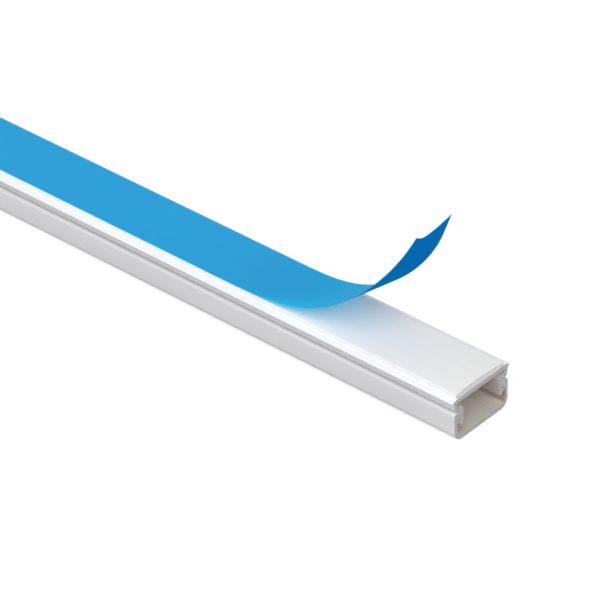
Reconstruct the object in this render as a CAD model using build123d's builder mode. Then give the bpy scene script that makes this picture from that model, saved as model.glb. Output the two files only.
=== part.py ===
from build123d import *
import os
from math import degrees, radians, sqrt, tan

# Stick, millimetres. The cover's outer face lies on Z = 0 and the stick runs along X.
LENGTH = 400.0

# Snap cover
COVER_WIDTH = 18.6
COVER_HEIGHT = 7.7
COVER_FACE = 1.1
COVER_WALL = 0.95
COVER_CORNER_RADIUS = 2.6
COVER_INNER_RADIUS = 1.8
COVER_EDGE_RADIUS = 0.6
BEAD_HEIGHT = 1.5
BEAD_RADIUS = 0.35
RIB_SPACING = 9.3
RIB_WIDTH = 0.7
RIB_HEIGHT = 0.25

# Base channel
LIP_WIDTH = 20.0
LIP_OVERHANG = 0.6
LIP_DROP = 0.5
LIP_EDGE = 0.3
LIP_RADIUS = 0.12
BASE_RISE = 3.85
PLATE_THICKNESS = 1.2
FLANGE_DEPTH = 2.8
FLANGE_LEAN = 0.3
FLANGE_RADIUS = 0.3
NOTCH_DEPTH = 0.85
WALL_THICKNESS = 0.9
WALL_REACH = 3.65
WALL_RADIUS = 0.4
BARB_LAND = 0.3
BARB_RADIUS = 0.12
LEAD_IN = 0.8

# Snap fit clearances
SEAT_GAP = 0.15
SIDE_GAP = 0.3
CATCH_GAP = 0.15
SNAP_CATCH = 0.65

# Foam tape and its release liner
TAPE_WIDTH = 16.4
TAPE_THICKNESS = 0.65
TAPE_SHOULDER = 0.4
TAPE_SHORT_NEAR = 0.5
TAPE_SHORT_MIDDLE = 0.95
TAPE_SHORT_FAR = 0.25
LINER_WIDTH = 16.4
LINER_SHIFT = 0.2
LINER_THICKNESS = 0.15

# Peeled end of the liner: bend radii from the root to the tip, and skew of the fold lines in degrees
PEEL_LENGTH = 67.4
LIFT_RADIUS = 33.3
MIDDLE_RADIUS = 59.0
TIP_RADIUS = 38.5
SKEW_ROOT = 29.0
SKEW_MIDDLE = 7.5
SKEW_TIP = -48.0
END_SHORT = 3.1
TAIL_START = -3.0
TAIL_SHORT = 0.4
FOLDS = 160
STATIONS = 30

# Half widths of the section, from the outside in
lip_half = LIP_WIDTH / 2
flange_half = lip_half - LIP_OVERHANG
cover_half = COVER_WIDTH / 2
cover_inside = cover_half - COVER_WALL
barb_tip = cover_inside - SIDE_GAP
bead_inside = barb_tip - SNAP_CATCH
wall_outside = bead_inside - SIDE_GAP
wall_inside = wall_outside - WALL_THICKNESS
flange_foot = flange_half - FLANGE_LEAN
notch_half = flange_foot - NOTCH_DEPTH
tape_half = TAPE_WIDTH / 2
liner_near = LINER_SHIFT - LINER_WIDTH / 2
liner_far = LINER_SHIFT + LINER_WIDTH / 2

# Heights of the section, from the cover's face up
bead_bottom = COVER_HEIGHT - BEAD_HEIGHT
shoulder = COVER_HEIGHT + SEAT_GAP
plate_top = shoulder + BASE_RISE
plate_under = plate_top - PLATE_THICKNESS
lip_top = plate_top - LIP_DROP
barb_top = bead_bottom - CATCH_GAP * sqrt(2) - (barb_tip - bead_inside)
wall_end = shoulder - WALL_REACH
tape_top = plate_top + TAPE_THICKNESS


# Corners of the right half of the base's section, each with its radius
base_corners = (
    ((tape_half, plate_top), 0),
    ((lip_half, lip_top), LIP_RADIUS),
    ((lip_half, lip_top - LIP_EDGE), LIP_RADIUS),
    ((flange_half, lip_top - LIP_EDGE), LIP_RADIUS),
    ((flange_foot, plate_top - FLANGE_DEPTH), FLANGE_RADIUS),
    ((notch_half, shoulder), BARB_RADIUS),
    ((wall_outside, shoulder), BARB_RADIUS),
    ((wall_outside, barb_top + barb_tip - wall_outside), BARB_RADIUS),
    ((barb_tip, barb_top), BARB_RADIUS),
    ((barb_tip, barb_top - BARB_LAND), BARB_RADIUS),
    ((barb_tip - LEAD_IN, wall_end), BARB_RADIUS),
    ((wall_inside, wall_end), WALL_RADIUS),
    ((wall_inside, shoulder + WALL_THICKNESS), WALL_RADIUS),
    ((notch_half - WALL_THICKNESS / 2, shoulder + WALL_THICKNESS), WALL_RADIUS),
    ((flange_foot - WALL_THICKNESS, plate_top - FLANGE_DEPTH + WALL_THICKNESS / 2), WALL_RADIUS),
    ((flange_half - WALL_THICKNESS, plate_under), WALL_RADIUS),
)
with BuildPart() as base_channel:
    with BuildSketch(Plane.YZ.offset(-LENGTH / 2)):
        with BuildLine():
            FilletPolyline(
                (0, plate_top),
                *[spot for spot, radius in base_corners],
                (0, plate_under),
                radius=[radius for spot, radius in base_corners],
            )
            mirror(about=Plane.YZ)
        make_face()
    extrude(amount=LENGTH)
base_channel.part.label = "base_channel"

# Corners of the right half of the cover's section, each with its radius
cover_corners = (
    ((cover_half, 0), COVER_CORNER_RADIUS),
    ((cover_half, COVER_HEIGHT), COVER_EDGE_RADIUS),
    ((bead_inside, COVER_HEIGHT), BEAD_RADIUS),
    ((bead_inside, bead_bottom), BEAD_RADIUS),
    ((cover_inside, bead_bottom + bead_inside - cover_inside), BEAD_RADIUS),
    ((cover_inside, COVER_FACE), COVER_INNER_RADIUS),
)
with BuildPart() as snap_cover:
    with BuildSketch(Plane.YZ.offset(-LENGTH / 2)):
        with BuildLine():
            FilletPolyline(
                (0, 0),
                *[spot for spot, radius in cover_corners],
                (0, COVER_FACE),
                radius=[radius for spot, radius in cover_corners],
            )
            mirror(about=Plane.YZ)
        make_face()
        with Locations((0, COVER_FACE)):
            with GridLocations(RIB_SPACING, 0, 2, 1):
                Rectangle(RIB_WIDTH, 2 * RIB_HEIGHT)
    extrude(amount=LENGTH)
snap_cover.part.label = "snap_cover"

# The tape is cut by hand a little short of the stick's end, with a slight bow
tape_near_corner = (LENGTH / 2 - TAPE_SHORT_NEAR, -tape_half)
tape_end_middle = (LENGTH / 2 - TAPE_SHORT_MIDDLE, 0)
tape_far_corner = (LENGTH / 2 - TAPE_SHORT_FAR, tape_half)
with BuildPart() as adhesive_tape:
    with BuildSketch(Plane.XY.offset(plate_top)):
        with BuildLine():
            Polyline(
                tape_near_corner,
                (-LENGTH / 2, -tape_half),
                (-LENGTH / 2, tape_half),
                tape_far_corner,
            )
            ThreePointArc(tape_far_corner, tape_end_middle, tape_near_corner)
        make_face()
    extrude(amount=TAPE_THICKNESS)
    fillet(edges().group_by(Axis.Z)[-1].filter_by(Axis.X), radius=TAPE_SHOULDER)
adhesive_tape.part.label = "adhesive_tape"


def along(values, share):
    """Value at a share of the way along evenly spaced values."""
    spot = share * (len(values) - 1)
    first = min(int(spot), len(values) - 2)
    return values[first] + (spot - first) * (values[first + 1] - values[first])


# The first fold line starts further back on the side it leans to
peel_run = PEEL_LENGTH - liner_near * tan(radians(SKEW_ROOT))

# Fold lines of the peeled end, and how the liner lies after each
fold_lines = []
places = [Pos(X=LENGTH / 2, Z=tape_top)]
for number in range(FOLDS):
    share = (number + 0.5) / FOLDS
    fold = (share - 1) * PEEL_LENGTH
    skew = along((SKEW_ROOT, SKEW_MIDDLE, SKEW_TIP), share)
    curvature = along((0, 1 / LIFT_RADIUS, 1 / MIDDLE_RADIUS, 1 / TIP_RADIUS), share)
    bend = degrees(curvature * PEEL_LENGTH / FOLDS)
    turn = Rot(Z=-skew) * Rot(Y=-bend) * Rot(Z=skew)
    fold_lines.append((fold, tan(radians(skew))))
    places.append(places[-1] * Pos(X=fold) * turn * Pos(X=-fold))


def place_at(lengthwise, across):
    """How the liner lies around one of its points once its end is peeled up."""
    passed = sum(fold + across * lean < lengthwise for fold, lean in fold_lines)
    return places[passed]


def peeled(lengthwise, across):
    """Where a point of the flat liner lies once its end is peeled up."""
    return (place_at(lengthwise, across) * Pos(lengthwise, across, 0)).position


def section(share):
    """Plane across the peeled liner, and the liner's breadth there."""
    lengthwise = (share - 1) * peel_run
    near = peeled(lengthwise, liner_near)
    far = peeled(lengthwise, liner_far)
    step = PEEL_LENGTH / FOLDS
    run = peeled(lengthwise, 0) - peeled(lengthwise - step, 0)
    up = run.cross(far - near).normalized()
    middle = (near + far) / 2 + up * LINER_THICKNESS / 2
    return Plane(middle, x_dir=far - near, z_dir=(far - near).cross(up)), (far - near).length


with BuildPart() as release_liner:
    with BuildSketch(Plane.YZ.offset(-LENGTH / 2)):
        with Locations((LINER_SHIFT, tape_top + LINER_THICKNESS / 2)):
            Rectangle(LINER_WIDTH, LINER_THICKNESS)
    extrude(amount=LENGTH - peel_run)
    for station in range(STATIONS + 1):
        cut, breadth = section(station / STATIONS)
        with BuildSketch(cut):
            Rectangle(breadth, LINER_THICKNESS)
    loft()
    # The free end is cut square and short, but for a tail torn at its near corner
    with BuildSketch(Plane(place_at(-END_SHORT, TAIL_START))):
        with BuildLine():
            Polyline(
                (-END_SHORT, liner_far + END_SHORT),
                (-END_SHORT, TAIL_START),
                (-TAIL_SHORT, liner_near),
                (-TAIL_SHORT, liner_near - END_SHORT),
                (END_SHORT, liner_near - END_SHORT),
                (END_SHORT, liner_far + END_SHORT),
                close=True,
            )
        make_face()
    extrude(amount=END_SHORT, both=True, mode=Mode.SUBTRACT)
release_liner.part.label = "release_liner"

os.makedirs("parts", exist_ok=True)
for piece in (base_channel, snap_cover, adhesive_tape, release_liner):
    export_step(piece.part, "parts/" + piece.part.label + ".step")
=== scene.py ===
import math

import bpy
from mathutils import Matrix, Vector


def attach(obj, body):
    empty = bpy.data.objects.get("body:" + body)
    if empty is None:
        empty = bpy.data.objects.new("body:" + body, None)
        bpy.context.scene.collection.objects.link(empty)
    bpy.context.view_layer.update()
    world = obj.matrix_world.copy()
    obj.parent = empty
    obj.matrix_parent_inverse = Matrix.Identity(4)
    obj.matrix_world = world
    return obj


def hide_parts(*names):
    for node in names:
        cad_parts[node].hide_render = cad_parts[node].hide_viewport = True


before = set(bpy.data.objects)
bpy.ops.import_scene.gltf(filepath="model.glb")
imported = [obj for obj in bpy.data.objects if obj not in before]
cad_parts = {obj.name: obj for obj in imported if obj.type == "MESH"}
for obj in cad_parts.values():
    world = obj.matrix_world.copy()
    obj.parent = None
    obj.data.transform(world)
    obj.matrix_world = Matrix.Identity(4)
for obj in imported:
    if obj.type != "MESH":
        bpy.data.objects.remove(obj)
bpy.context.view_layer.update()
scene = bpy.context.scene
scene.view_settings.view_transform = "Standard"

MM = 0.001

# Stick and liner as in the part's source, in millimetres
LENGTH = 400.0
TAPE_TOP = 12.35
LINER_WIDTH = 16.4
LINER_SHIFT = 0.2
LINER_THICKNESS = 0.15

# Peeled end as in the part's source, with its bend radii and the skew of its fold lines from root to tip
PEEL_LENGTH = 67.4
BEND_RADII = (33.3, 59.0, 38.5)
FOLD_SKEWS = (29.0, 7.5, -48.0)
FOLDS = 160

# Air under the film, so that its face and the tape's don't lie in one plane
LINER_AIR = 0.02

# Cut of the liner's free end: short of the stick's end, with a little tail at its near corner
END_SHORT = 3.1
TAIL_LENGTH = 3.1
TAIL_START = -3.0
TAIL_WIDTH = 5.5
TAIL_POWER = 1.4

# Mesh of the liner: points across it, steps along it, and how far the fine steps reach past the peel
LINER_ROWS = 33
FLAT_STEPS = 90
PEEL_STEPS = 220
FINE_MARGIN = 8.0
SHARP_ANGLE = math.radians(40)

# Camera at the photo's viewpoint: angles, lens, place in millimetres and clipping in metres
AZIMUTH = math.radians(42.8134)
ELEVATION = math.radians(35.467)
ROLL = math.radians(-2.1113)
FOCAL_PIXELS = 4127.12
FRAME_PIXELS = 600
SENSOR_WIDTH = 36.0
CAMERA_DISTANCE = 926.358
CAMERA_ACROSS = 40.7257
CAMERA_UP = -27.7956
CLIP_START = 0.01
CLIP_END = 100

# Tones of the plastic: outside; inside the channel, warmer as painted light, darker near the ends as painted
# shade;
# in the pockets and on the plate's bare end, painted shade; sawn, partly a duller cut, partly painted shade.
# Tones of the plastic, each matched to the photo with its shade there: outside, inside the channel, in the
# pockets, on the plate's bare end and sawn
WHITE = (0.888, 0.90, 0.93)
INNER_WARM_PAINTED_LIGHT = (0.995, 0.92, 0.84)
POCKET_PAINTED_SHADE = (0.34, 0.26, 0.17)
STRIP_PAINTED_SHADE = (0.60, 0.60, 0.60)
SAWN_TONE = (0.90, 0.895, 0.885)
SAWN_DULL_AND_PAINTED_SHADES = (0.30, 0.38)
BLOTCH_SHADE = 0.97

# Tones of the tape's skin and its cut cells, and of the film's two faces
TAPE_TONES = ((0.748, 0.738, 0.716), (0.778, 0.768, 0.746))
CELL_LEVELS = (0.45, 0.55)
FILM_TONE = (0.075, 0.525, 0.91)
FILM_INNER_TONE = (0.0005, 0.001, 0.02)
STREAK_SHADE = 0.96

# Light that passes through the plastic's walls and the film's two skins: its tint and its share
PLASTIC_GLOW = (0.97, 0.94, 0.91)
LIP_SHARE = 0.12
WALL_SHARE = 0.35
INNER_SHARE = 0.4
FILM_GLOW = (0.06, 0.95, 1.0)
FILM_SHARE = 0.65
FILM_INNER_SHARE = 0.9

# Tint of the film's inner skin near its root and at its tip, where it is darker as painted shade, and the
# heights between which it changes
FILM_ROOT_GLOW = (0.06, 0.74, 1.0)
FILM_TIP_PAINTED_SHADE_GLOW = (0.05, 0.31, 0.71)
TIP_HEIGHTS = (13.5, 22.0)

# Roughness of each surface, from its smoothest to its roughest spots, and the film's shine
SKIN_ROUGHNESS = (0.3, 0.42)
SAWN_ROUGHNESS = (0.55, 0.75)
TAPE_ROUGHNESS = (0.32, 0.5)
FILM_ROUGHNESS = (0.36, 0.48)
FILM_INNER_ROUGHNESS = (0.5, 0.62)
FILM_SHINE = 0.04
FILM_INNER_SHINE = 0.0

# Depth of the fine relief in millimetres, and the die lines' share of the saw marks' depth
PLASTIC_RELIEF = 0.02
TAPE_RELIEF = 0.03
FILM_RELIEF = 0.15
DIE_LINE_SHARE = 0.25

# Levels of a pattern between which a tone or a relief changes, and the full range of a share
TONE_SPAN = (0.3, 0.7)
RELIEF_SPAN = (0.2, 0.8)
FULL_SPAN = (0.0, 1.0)

# Cells of each pattern per millimetre, along the stick, across it and upright
DIE_LINES = (0.004, 2.2, 2.2)
BLOTCHES = (0.02, 0.1, 0.1)
SAW_MARKS = (3.0, 0.35, 5.0)
TAPE_DIMPLES = (0.5, 0.9, 0.9)
TAPE_STREAKS = (0.015, 0.5, 0.5)
FILM_STREAKS = (0.01, 0.6, 0.6)
FILM_COCKLE = (0.06, 0.12, 0.12)

# Half width, middle and half height of regions of the section in millimetres, and their soft edge: the
# channel between the base's walls with its floor and the hollows behind the base's edges, the pockets beside
# the walls, the plate under the tape, which shows past the tape's end, and the base's lips
CHANNEL_BOXES = ((6.5, 5.9, 5.1), (8.5, 0.9, 0.45), (8.5, 9.8, 1.0))
POCKET_BOX = (8.5, 3.9, 2.2)
STRIP_BOX = (8.0, 11.9, 0.4)
LIP_BOX = (12.0, 11.4, 0.6)
REGION_EDGE = 0.3

# Channel's skin near the sawn ends, darker as painted shade: how dark, and how far in it ends and is full
INNER_END_PAINTED_SHADE = 0.66
INNER_END_DEPTH = 9.0
INNER_END_EDGE = 1.0

# Lengthwise part of a face's normal: up to the first value it is a side, from the second a cut end
CUT_NORMAL = (0.6, 0.9)

# Floor, with its half size in metres and its drop below the stick in millimetres, and surround
FLOOR_HALF = 8.0
FLOOR_DROP = 0.02
FLOOR_BOUNCE = 0.5
FLOOR_WHITE = 0.8
SURROUND_TONE = (0.97, 0.98, 1.0)
SURROUND_STRENGTH = 0.25

# Lamps: spot that each is aimed at, direction from there, distance and size in metres, power in watts
PEELED_END = (0.15, 0, 0.01)
FAR_END = (-0.2, 0, 0.006)
LAMPS = (
    ("main", PEELED_END, (0.42, -0.40, 0.81), 1.6, 1.0, 17.0),
    ("side", PEELED_END, (0.0, -0.88, 0.47), 1.6, 0.9, 8.6),
    ("front", PEELED_END, (0.94, 0.0, 0.34), 1.6, 0.9, 10.0),
    ("back", PEELED_END, (-0.85, -0.20, 0.49), 1.6, 0.9, 5.5),
    ("far", PEELED_END, (0.30, 0.94, 0.15), 1.6, 0.5, 9.0),
    ("end", FAR_END, (-0.97, 0.20, 0.14), 0.4, 0.1, 0.7),
)


def make_camera():
    """Camera at the photo's viewpoint, found from the stick's edges."""
    back = Vector((
        math.sin(AZIMUTH) * math.cos(ELEVATION),
        -math.cos(AZIMUTH) * math.cos(ELEVATION),
        math.sin(ELEVATION),
    ))
    level = Vector((math.cos(AZIMUTH), math.sin(AZIMUTH), 0))
    upright = back.cross(level)
    right = level * math.cos(ROLL) + upright * math.sin(ROLL)
    up = upright * math.cos(ROLL) - level * math.sin(ROLL)
    near_end = Vector((LENGTH / 2, 0, 0))
    place = (near_end + back * CAMERA_DISTANCE - right * CAMERA_ACROSS - up * CAMERA_UP) * MM
    data = bpy.data.cameras.new("camera")
    data.sensor_width = SENSOR_WIDTH
    data.lens = FOCAL_PIXELS * SENSOR_WIDTH / FRAME_PIXELS
    data.clip_start = CLIP_START
    data.clip_end = CLIP_END
    camera = bpy.data.objects.new("camera", data)
    turn = Matrix((right, up, back)).transposed().to_4x4()
    camera.matrix_world = Matrix.Translation(place) @ turn
    scene.collection.objects.link(camera)
    scene.camera = camera


# Node helpers
def new_material(name):
    material = bpy.data.materials.new(name)
    material.use_nodes = True
    nodes = material.node_tree.nodes
    return material, nodes, material.node_tree.links, nodes["Principled BSDF"]


def add(nodes, kind, **values):
    node = nodes.new(kind)
    for key, value in values.items():
        setattr(node, key, value)
    return node


def grey(level):
    return (level, level, level)


def shade(tone, factor):
    return [c * factor for c in tone]


def own_coordinates(nodes, links):
    """The three coordinates of a point on the object, in metres."""
    coords = add(nodes, "ShaderNodeTexCoord")
    split = add(nodes, "ShaderNodeSeparateXYZ")
    links.new(coords.outputs["Object"], split.inputs["Vector"])
    return split


def stretched_noise(nodes, links, scale, detail):
    """Noise on the object's own coordinates, with its own stretch along each axis, per millimetre."""
    coords = add(nodes, "ShaderNodeTexCoord")
    mapping = add(nodes, "ShaderNodeMapping")
    mapping.inputs["Scale"].default_value = [s / MM for s in scale]
    noise = add(nodes, "ShaderNodeTexNoise")
    noise.inputs["Scale"].default_value = 1.0
    noise.inputs["Detail"].default_value = detail
    links.new(coords.outputs["Object"], mapping.inputs["Vector"])
    links.new(mapping.outputs["Vector"], noise.inputs["Vector"])
    return noise.outputs["Fac"]


def ramp(nodes, links, value, low, high, span=TONE_SPAN):
    """Colour that goes from low to high as a value goes over a span."""
    node = add(nodes, "ShaderNodeValToRGB")
    first, last = node.color_ramp.elements
    first.position, last.position = span
    first.color = (*low, 1)
    last.color = (*high, 1)
    links.new(value, node.inputs["Fac"])
    return node.outputs["Color"]


def mix_colour(nodes, links, share, first, second):
    node = add(nodes, "ShaderNodeMix", data_type="RGBA")
    links.new(share, node.inputs["Factor"])
    links.new(first, node.inputs["A"])
    links.new(second, node.inputs["B"])
    return node.outputs["Result"]


def share_between(nodes, links, value, low, high):
    """0 where a value is at low, 1 where it is at high."""
    node = add(nodes, "ShaderNodeMapRange")
    node.inputs["From Min"].default_value = low
    node.inputs["From Max"].default_value = high
    links.new(value, node.inputs["Value"])
    return node.outputs["Result"]


def size_of(nodes, links, value):
    node = add(nodes, "ShaderNodeMath", operation="ABSOLUTE")
    links.new(value, node.inputs[0])
    return node.outputs["Value"]


def bump(nodes, links, shader, height, distance):
    node = add(nodes, "ShaderNodeBump")
    node.inputs["Distance"].default_value = distance * MM
    node.inputs["Strength"].default_value = 1.0
    links.new(height, node.inputs["Height"])
    links.new(node.outputs["Normal"], shader.inputs["Normal"])


def let_light_through(nodes, links, shader, glow, share):
    """Lets a share of the light pass through a thin wall, tinted by the wall's glow."""
    through = add(nodes, "ShaderNodeBsdfTranslucent")
    mixed = add(nodes, "ShaderNodeMixShader")
    mixed.inputs["Fac"].default_value = share
    through.inputs["Color"].default_value = (*glow, 1)
    links.new(shader.outputs["BSDF"], mixed.inputs[1])
    links.new(through.outputs["BSDF"], mixed.inputs[2])
    links.new(mixed.outputs["Shader"], nodes["Material Output"].inputs["Surface"])
    return through, mixed


# Regions of the stick
def cut_face_share(nodes, links):
    """1 on the sawn ends of the stick, 0 on its sides."""
    geometry = add(nodes, "ShaderNodeNewGeometry")
    split = add(nodes, "ShaderNodeSeparateXYZ")
    links.new(geometry.outputs["True Normal"], split.inputs["Vector"])
    lengthwise = size_of(nodes, links, split.outputs["X"])
    return share_between(nodes, links, lengthwise, *CUT_NORMAL)


def box_share(nodes, links, split, half_width, middle, half_height):
    """1 inside a box that runs along the stick, 0 outside it."""
    both = add(nodes, "ShaderNodeMath", operation="MULTIPLY")
    sides = (("Y", 0.0, half_width), ("Z", middle, half_height))
    for number, (axis, centre, half) in enumerate(sides):
        offset = add(nodes, "ShaderNodeMath", operation="SUBTRACT")
        offset.inputs[1].default_value = centre * MM
        links.new(split.outputs[axis], offset.inputs[0])
        away = size_of(nodes, links, offset.outputs["Value"])
        within = share_between(nodes, links, away, (half + REGION_EDGE) * MM, half * MM)
        links.new(within, both.inputs[number])
    return both.outputs["Value"]


def channel_share(nodes, links, split):
    """1 on the channel's inner skin, 0 elsewhere."""
    channel, *others = [box_share(nodes, links, split, *box) for box in CHANNEL_BOXES]
    for other in others:
        either = add(nodes, "ShaderNodeMath", operation="MAXIMUM")
        links.new(channel, either.inputs[0])
        links.new(other, either.inputs[1])
        channel = either.outputs["Value"]
    return channel


def near_end_share(nodes, links, split):
    """1 at the stick's sawn ends, 0 deeper in."""
    lengthwise = size_of(nodes, links, split.outputs["X"])
    deep, shallow = LENGTH / 2 - INNER_END_DEPTH, LENGTH / 2 - INNER_END_EDGE
    return share_between(nodes, links, lengthwise, deep * MM, shallow * MM)


def changed_share(nodes, links, region, outside, inside):
    """One share outside a region, given as a number or a socket, and another inside it."""
    node = add(nodes, "ShaderNodeMapRange")
    if isinstance(outside, float):
        node.inputs["To Min"].default_value = outside
    else:
        links.new(outside, node.inputs["To Min"])
    node.inputs["To Max"].default_value = inside
    links.new(region, node.inputs["Value"])
    return node.outputs["Result"]


# Materials
def extruded_plastic(name):
    """White extruded plastic: faint die lines along the stick, and saw marks on its cut ends."""
    material, nodes, links, shader = new_material(name)
    die_lines = stretched_noise(nodes, links, DIE_LINES, detail=5)
    blotches = stretched_noise(nodes, links, BLOTCHES, detail=2)
    saw_marks = stretched_noise(nodes, links, SAW_MARKS, detail=4)
    split = own_coordinates(nodes, links)
    cut = cut_face_share(nodes, links)
    channel = channel_share(nodes, links, split)
    pocket = box_share(nodes, links, split, *POCKET_BOX)
    strip = box_share(nodes, links, split, *STRIP_BOX)
    lips = box_share(nodes, links, split, *LIP_BOX)
    near_end = near_end_share(nodes, links, split)

    def blotched(tone):
        return ramp(nodes, links, blotches, shade(tone, BLOTCH_SHADE), tone)

    # Inside the channel: a warmer tone as painted light, and painted shade towards the sawn ends
    inside = ramp(nodes, links, near_end, INNER_WARM_PAINTED_LIGHT, shade(INNER_WARM_PAINTED_LIGHT, INNER_END_PAINTED_SHADE), FULL_SPAN)
    # Painted shade on the plate's bare end past the tape
    skin = mix_colour(nodes, links, strip, blotched(WHITE), blotched(STRIP_PAINTED_SHADE))
    # Painted shade in the pockets beside the base's walls
    skin = mix_colour(nodes, links, pocket, skin, blotched(POCKET_PAINTED_SHADE))
    skin = mix_colour(nodes, links, channel, skin, inside)
    # Sawn ends darker, partly a duller cut surface and partly painted shade
    sawn = ramp(nodes, links, saw_marks, *[shade(SAWN_TONE, factor) for factor in SAWN_DULL_AND_PAINTED_SHADES])
    links.new(mix_colour(nodes, links, cut, skin, sawn), shader.inputs["Base Color"])
    smooth = ramp(nodes, links, die_lines, *map(grey, SKIN_ROUGHNESS))
    rough = ramp(nodes, links, saw_marks, *map(grey, SAWN_ROUGHNESS))
    links.new(mix_colour(nodes, links, cut, smooth, rough), shader.inputs["Roughness"])
    lines = ramp(nodes, links, die_lines, grey(0.0), grey(DIE_LINE_SHARE), RELIEF_SPAN)
    marks = ramp(nodes, links, saw_marks, grey(0.0), grey(1.0), RELIEF_SPAN)
    bump(nodes, links, shader, mix_colour(nodes, links, cut, lines, marks), PLASTIC_RELIEF)
    _, mixed = let_light_through(nodes, links, shader, PLASTIC_GLOW, WALL_SHARE)
    passing = changed_share(nodes, links, lips, WALL_SHARE, LIP_SHARE)
    passing = changed_share(nodes, links, channel, passing, INNER_SHARE)
    passing = changed_share(nodes, links, cut, passing, 0.0)
    links.new(passing, mixed.inputs["Fac"])
    return material


def foam_tape():
    """White foam tape: a tacky skin with faint dimples, and open cells on its cut edges."""
    material, nodes, links, shader = new_material("tape_foam")
    dimples = stretched_noise(nodes, links, TAPE_DIMPLES, detail=3)
    streaks = stretched_noise(nodes, links, TAPE_STREAKS, detail=3)
    tint = ramp(nodes, links, streaks, *TAPE_TONES)
    cells = ramp(nodes, links, dimples, *map(grey, CELL_LEVELS))
    cut = cut_face_share(nodes, links)
    links.new(mix_colour(nodes, links, cut, tint, cells), shader.inputs["Base Color"])
    links.new(ramp(nodes, links, dimples, *map(grey, TAPE_ROUGHNESS)), shader.inputs["Roughness"])
    bump(nodes, links, shader, dimples, TAPE_RELIEF)
    return material


def film(name, tone, roughness, shine, share, glow, shaded_tip_glow=None):
    """Blue liner film: satin, with faint stretch marks along it and a slight cockle."""
    material, nodes, links, shader = new_material(name)
    streaks = stretched_noise(nodes, links, FILM_STREAKS, detail=4)
    cockle = stretched_noise(nodes, links, FILM_COCKLE, detail=2)
    links.new(ramp(nodes, links, streaks, shade(tone, STREAK_SHADE), tone), shader.inputs["Base Color"])
    links.new(ramp(nodes, links, streaks, *map(grey, roughness)), shader.inputs["Roughness"])
    shader.inputs["Specular IOR Level"].default_value = shine
    bump(nodes, links, shader, cockle, FILM_RELIEF)
    through, _ = let_light_through(nodes, links, shader, glow, share)
    # The inner skin's tint darkens towards the film's tip as painted shade
    if shaded_tip_glow:
        height = own_coordinates(nodes, links).outputs["Z"]
        tip = share_between(nodes, links, height, *[level * MM for level in TIP_HEIGHTS])
        links.new(ramp(nodes, links, tip, glow, shaded_tip_glow, FULL_SPAN), through.inputs["Color"])
    return material


# Peeled liner
def along(values, share):
    """Value at a share of the way along evenly spaced values."""
    spot = share * (len(values) - 1)
    first = min(int(spot), len(values) - 2)
    return values[first] + (spot - first) * (values[first + 1] - values[first])


# Fold lines of the peeled end, and how the liner lies after each
fold_lines = []
places = [Matrix.Translation((LENGTH / 2, 0, TAPE_TOP))]
for number in range(FOLDS):
    share = (number + 0.5) / FOLDS
    fold = (share - 1) * PEEL_LENGTH
    skew = math.radians(along(FOLD_SKEWS, share))
    curvature = along((0, *[1 / radius for radius in BEND_RADII]), share)
    axis = Vector((math.sin(skew), math.cos(skew), 0))
    turn = Matrix.Rotation(-curvature * PEEL_LENGTH / FOLDS, 4, axis)
    shift = Matrix.Translation((fold, 0, 0))
    fold_lines.append((fold, math.tan(skew)))
    places.append(places[-1] @ shift @ turn @ shift.inverted())


def peeled(lengthwise, across):
    """Where a point of the flat liner lies once its end is peeled up, and the liner's normal there."""
    passed = sum(fold + across * lean < lengthwise for fold, lean in fold_lines)
    place = places[passed]
    return place @ Vector((lengthwise, across, 0)), place.to_3x3() @ Vector((0, 0, 1))


def end_of(across):
    """How far the film reaches along the stick on each line, measured from the stick's end."""
    tail = max(0.0, (TAIL_START - across) / TAIL_WIDTH)
    return TAIL_LENGTH * tail ** TAIL_POWER - END_SHORT


def make_liner():
    """Film of one thickness: flat on the tape, then peeled up to its cut end."""
    rows = LINER_ROWS
    root = -PEEL_LENGTH - FINE_MARGIN
    stops = [-LENGTH + (LENGTH + root) * i / FLAT_STEPS for i in range(FLAT_STEPS)]
    stops += [root + (-root) * i / PEEL_STEPS for i in range(PEEL_STEPS + 1)]
    top, under = [], []
    for stop in stops:
        reach = (stop - root) / -root if stop > root else 0.0
        for row in range(rows):
            across = LINER_SHIFT + LINER_WIDTH * (row / (rows - 1) - 0.5)
            spot, normal = peeled(stop + reach * end_of(across), across)
            under.append((spot + normal * LINER_AIR) * MM)
            top.append((spot + normal * LINER_THICKNESS) * MM)
    count = len(under)
    columns = len(stops)
    faces, upper = [], []

    def quad(corners, is_top):
        faces.append(tuple(corners))
        upper.append(is_top)

    for i in range(columns - 1):
        for j in range(rows - 1):
            a, b = i * rows + j, (i + 1) * rows + j
            quad((a, a + 1, b + 1, b), False)
            quad((count + a, count + b, count + b + 1, count + a + 1), True)
        for j, flip in ((0, False), (rows - 1, True)):
            a, b = i * rows + j, (i + 1) * rows + j
            side = (a, b, count + b, count + a)
            quad(reversed(side) if flip else side, True)
    for i, flip in ((0, True), (columns - 1, False)):
        for j in range(rows - 1):
            a = i * rows + j
            side = (a, a + 1, count + a + 1, count + a)
            quad(reversed(side) if flip else side, True)
    mesh = bpy.data.meshes.new("liner_film")
    mesh.from_pydata([tuple(v) for v in under + top], [], faces)
    mesh.materials.append(film(
        "liner_film", FILM_TONE, FILM_ROUGHNESS, FILM_SHINE, FILM_SHARE, FILM_GLOW))
    mesh.materials.append(film(
        "liner_film_inner", FILM_INNER_TONE, FILM_INNER_ROUGHNESS, FILM_INNER_SHINE, FILM_INNER_SHARE,
        FILM_ROOT_GLOW, FILM_TIP_PAINTED_SHADE_GLOW))
    for polygon, is_top in zip(mesh.polygons, upper):
        polygon.material_index = 0 if is_top else 1
        polygon.use_smooth = True
    mesh.set_sharp_from_angle(angle=SHARP_ANGLE)
    liner = bpy.data.objects.new("liner_film", mesh)
    scene.collection.objects.link(liner)
    return liner


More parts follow.
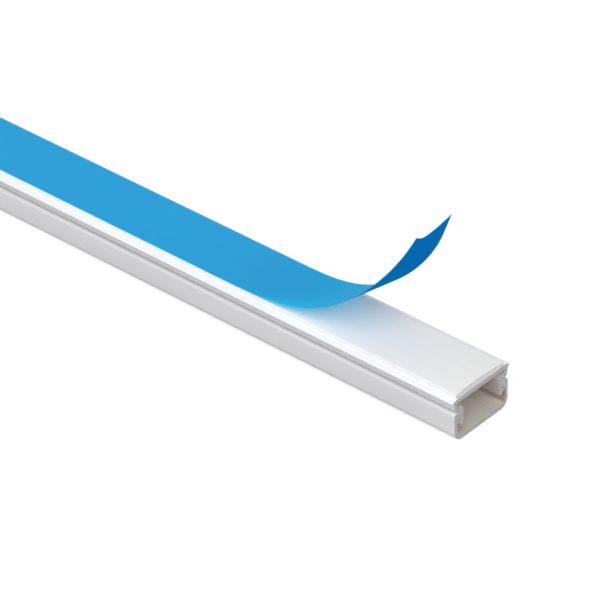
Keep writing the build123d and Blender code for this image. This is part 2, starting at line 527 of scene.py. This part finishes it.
# Stage
def make_floor():
    """Pale floor that shows white to the camera and keeps a faint shadow."""
    half = FLOOR_HALF
    mesh = bpy.data.meshes.new("floor")
    corners = [(-half, -half, 0), (half, -half, 0), (half, half, 0), (-half, half, 0)]
    mesh.from_pydata(corners, [], [(0, 1, 2, 3)])
    floor = bpy.data.objects.new("floor", mesh)
    floor.location.z = -FLOOR_DROP * MM
    material = bpy.data.materials.new("floor")
    material.use_nodes = True
    nodes, links = material.node_tree.nodes, material.node_tree.links
    nodes.clear()
    path = add(nodes, "ShaderNodeLightPath")
    seen = add(nodes, "ShaderNodeMath", operation="MAXIMUM")
    white = add(nodes, "ShaderNodeEmission")
    matt = add(nodes, "ShaderNodeBsdfDiffuse")
    bounce = add(nodes, "ShaderNodeMapRange")
    bounce.inputs["To Min"].default_value = FLOOR_BOUNCE
    share = add(nodes, "ShaderNodeMath", operation="MULTIPLY")
    share.inputs[1].default_value = FLOOR_WHITE
    mixed = add(nodes, "ShaderNodeMixShader")
    out = add(nodes, "ShaderNodeOutputMaterial")
    links.new(path.outputs["Is Camera Ray"], seen.inputs[0])
    links.new(path.outputs["Is Glossy Ray"], seen.inputs[1])
    links.new(seen.outputs["Value"], share.inputs[0])
    links.new(seen.outputs["Value"], bounce.inputs["Value"])
    links.new(bounce.outputs["Result"], matt.inputs["Color"])
    links.new(share.outputs["Value"], mixed.inputs["Fac"])
    links.new(matt.outputs["BSDF"], mixed.inputs[1])
    links.new(white.outputs["Emission"], mixed.inputs[2])
    links.new(mixed.outputs["Shader"], out.inputs["Surface"])
    mesh.materials.append(material)
    scene.collection.objects.link(floor)


def make_world():
    """Even studio surround, white where the camera sees it."""
    world = bpy.data.worlds.new("studio")
    scene.world = world
    world.use_nodes = True
    nodes, links = world.node_tree.nodes, world.node_tree.links
    nodes.clear()
    path = add(nodes, "ShaderNodeLightPath")
    surround = add(nodes, "ShaderNodeBackground")
    surround.inputs["Color"].default_value = (*SURROUND_TONE, 1)
    surround.inputs["Strength"].default_value = SURROUND_STRENGTH
    white = add(nodes, "ShaderNodeBackground")
    mixed = add(nodes, "ShaderNodeMixShader")
    out = add(nodes, "ShaderNodeOutputWorld")
    links.new(path.outputs["Is Camera Ray"], mixed.inputs["Fac"])
    links.new(surround.outputs["Background"], mixed.inputs[1])
    links.new(white.outputs["Background"], mixed.inputs[2])
    links.new(mixed.outputs["Shader"], out.inputs["Surface"])


def make_lamp(name, target, direction, distance, size, power):
    """Soft square lamp that is aimed at one spot."""
    data = bpy.data.lights.new(name, "AREA")
    data.shape = "SQUARE"
    data.size = size
    data.energy = power
    lamp = bpy.data.objects.new(name, data)
    aim = Vector(direction).normalized()
    lamp.location = Vector(target) + aim * distance
    lamp.rotation_mode = "QUATERNION"
    lamp.rotation_quaternion = aim.to_track_quat("Z", "Y")
    lamp.visible_camera = False
    scene.collection.objects.link(lamp)


make_camera()
make_floor()
make_world()
for lamp in LAMPS:
    make_lamp(*lamp)

for node, material in (
    ("base_channel", extruded_plastic("base_plastic")),
    ("snap_cover", extruded_plastic("cover_plastic")),
    ("adhesive_tape", foam_tape()),
):
    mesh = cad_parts[node].data
    mesh.materials.clear()
    mesh.materials.append(material)

liner = make_liner()
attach(liner, "root")
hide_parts("release_liner")
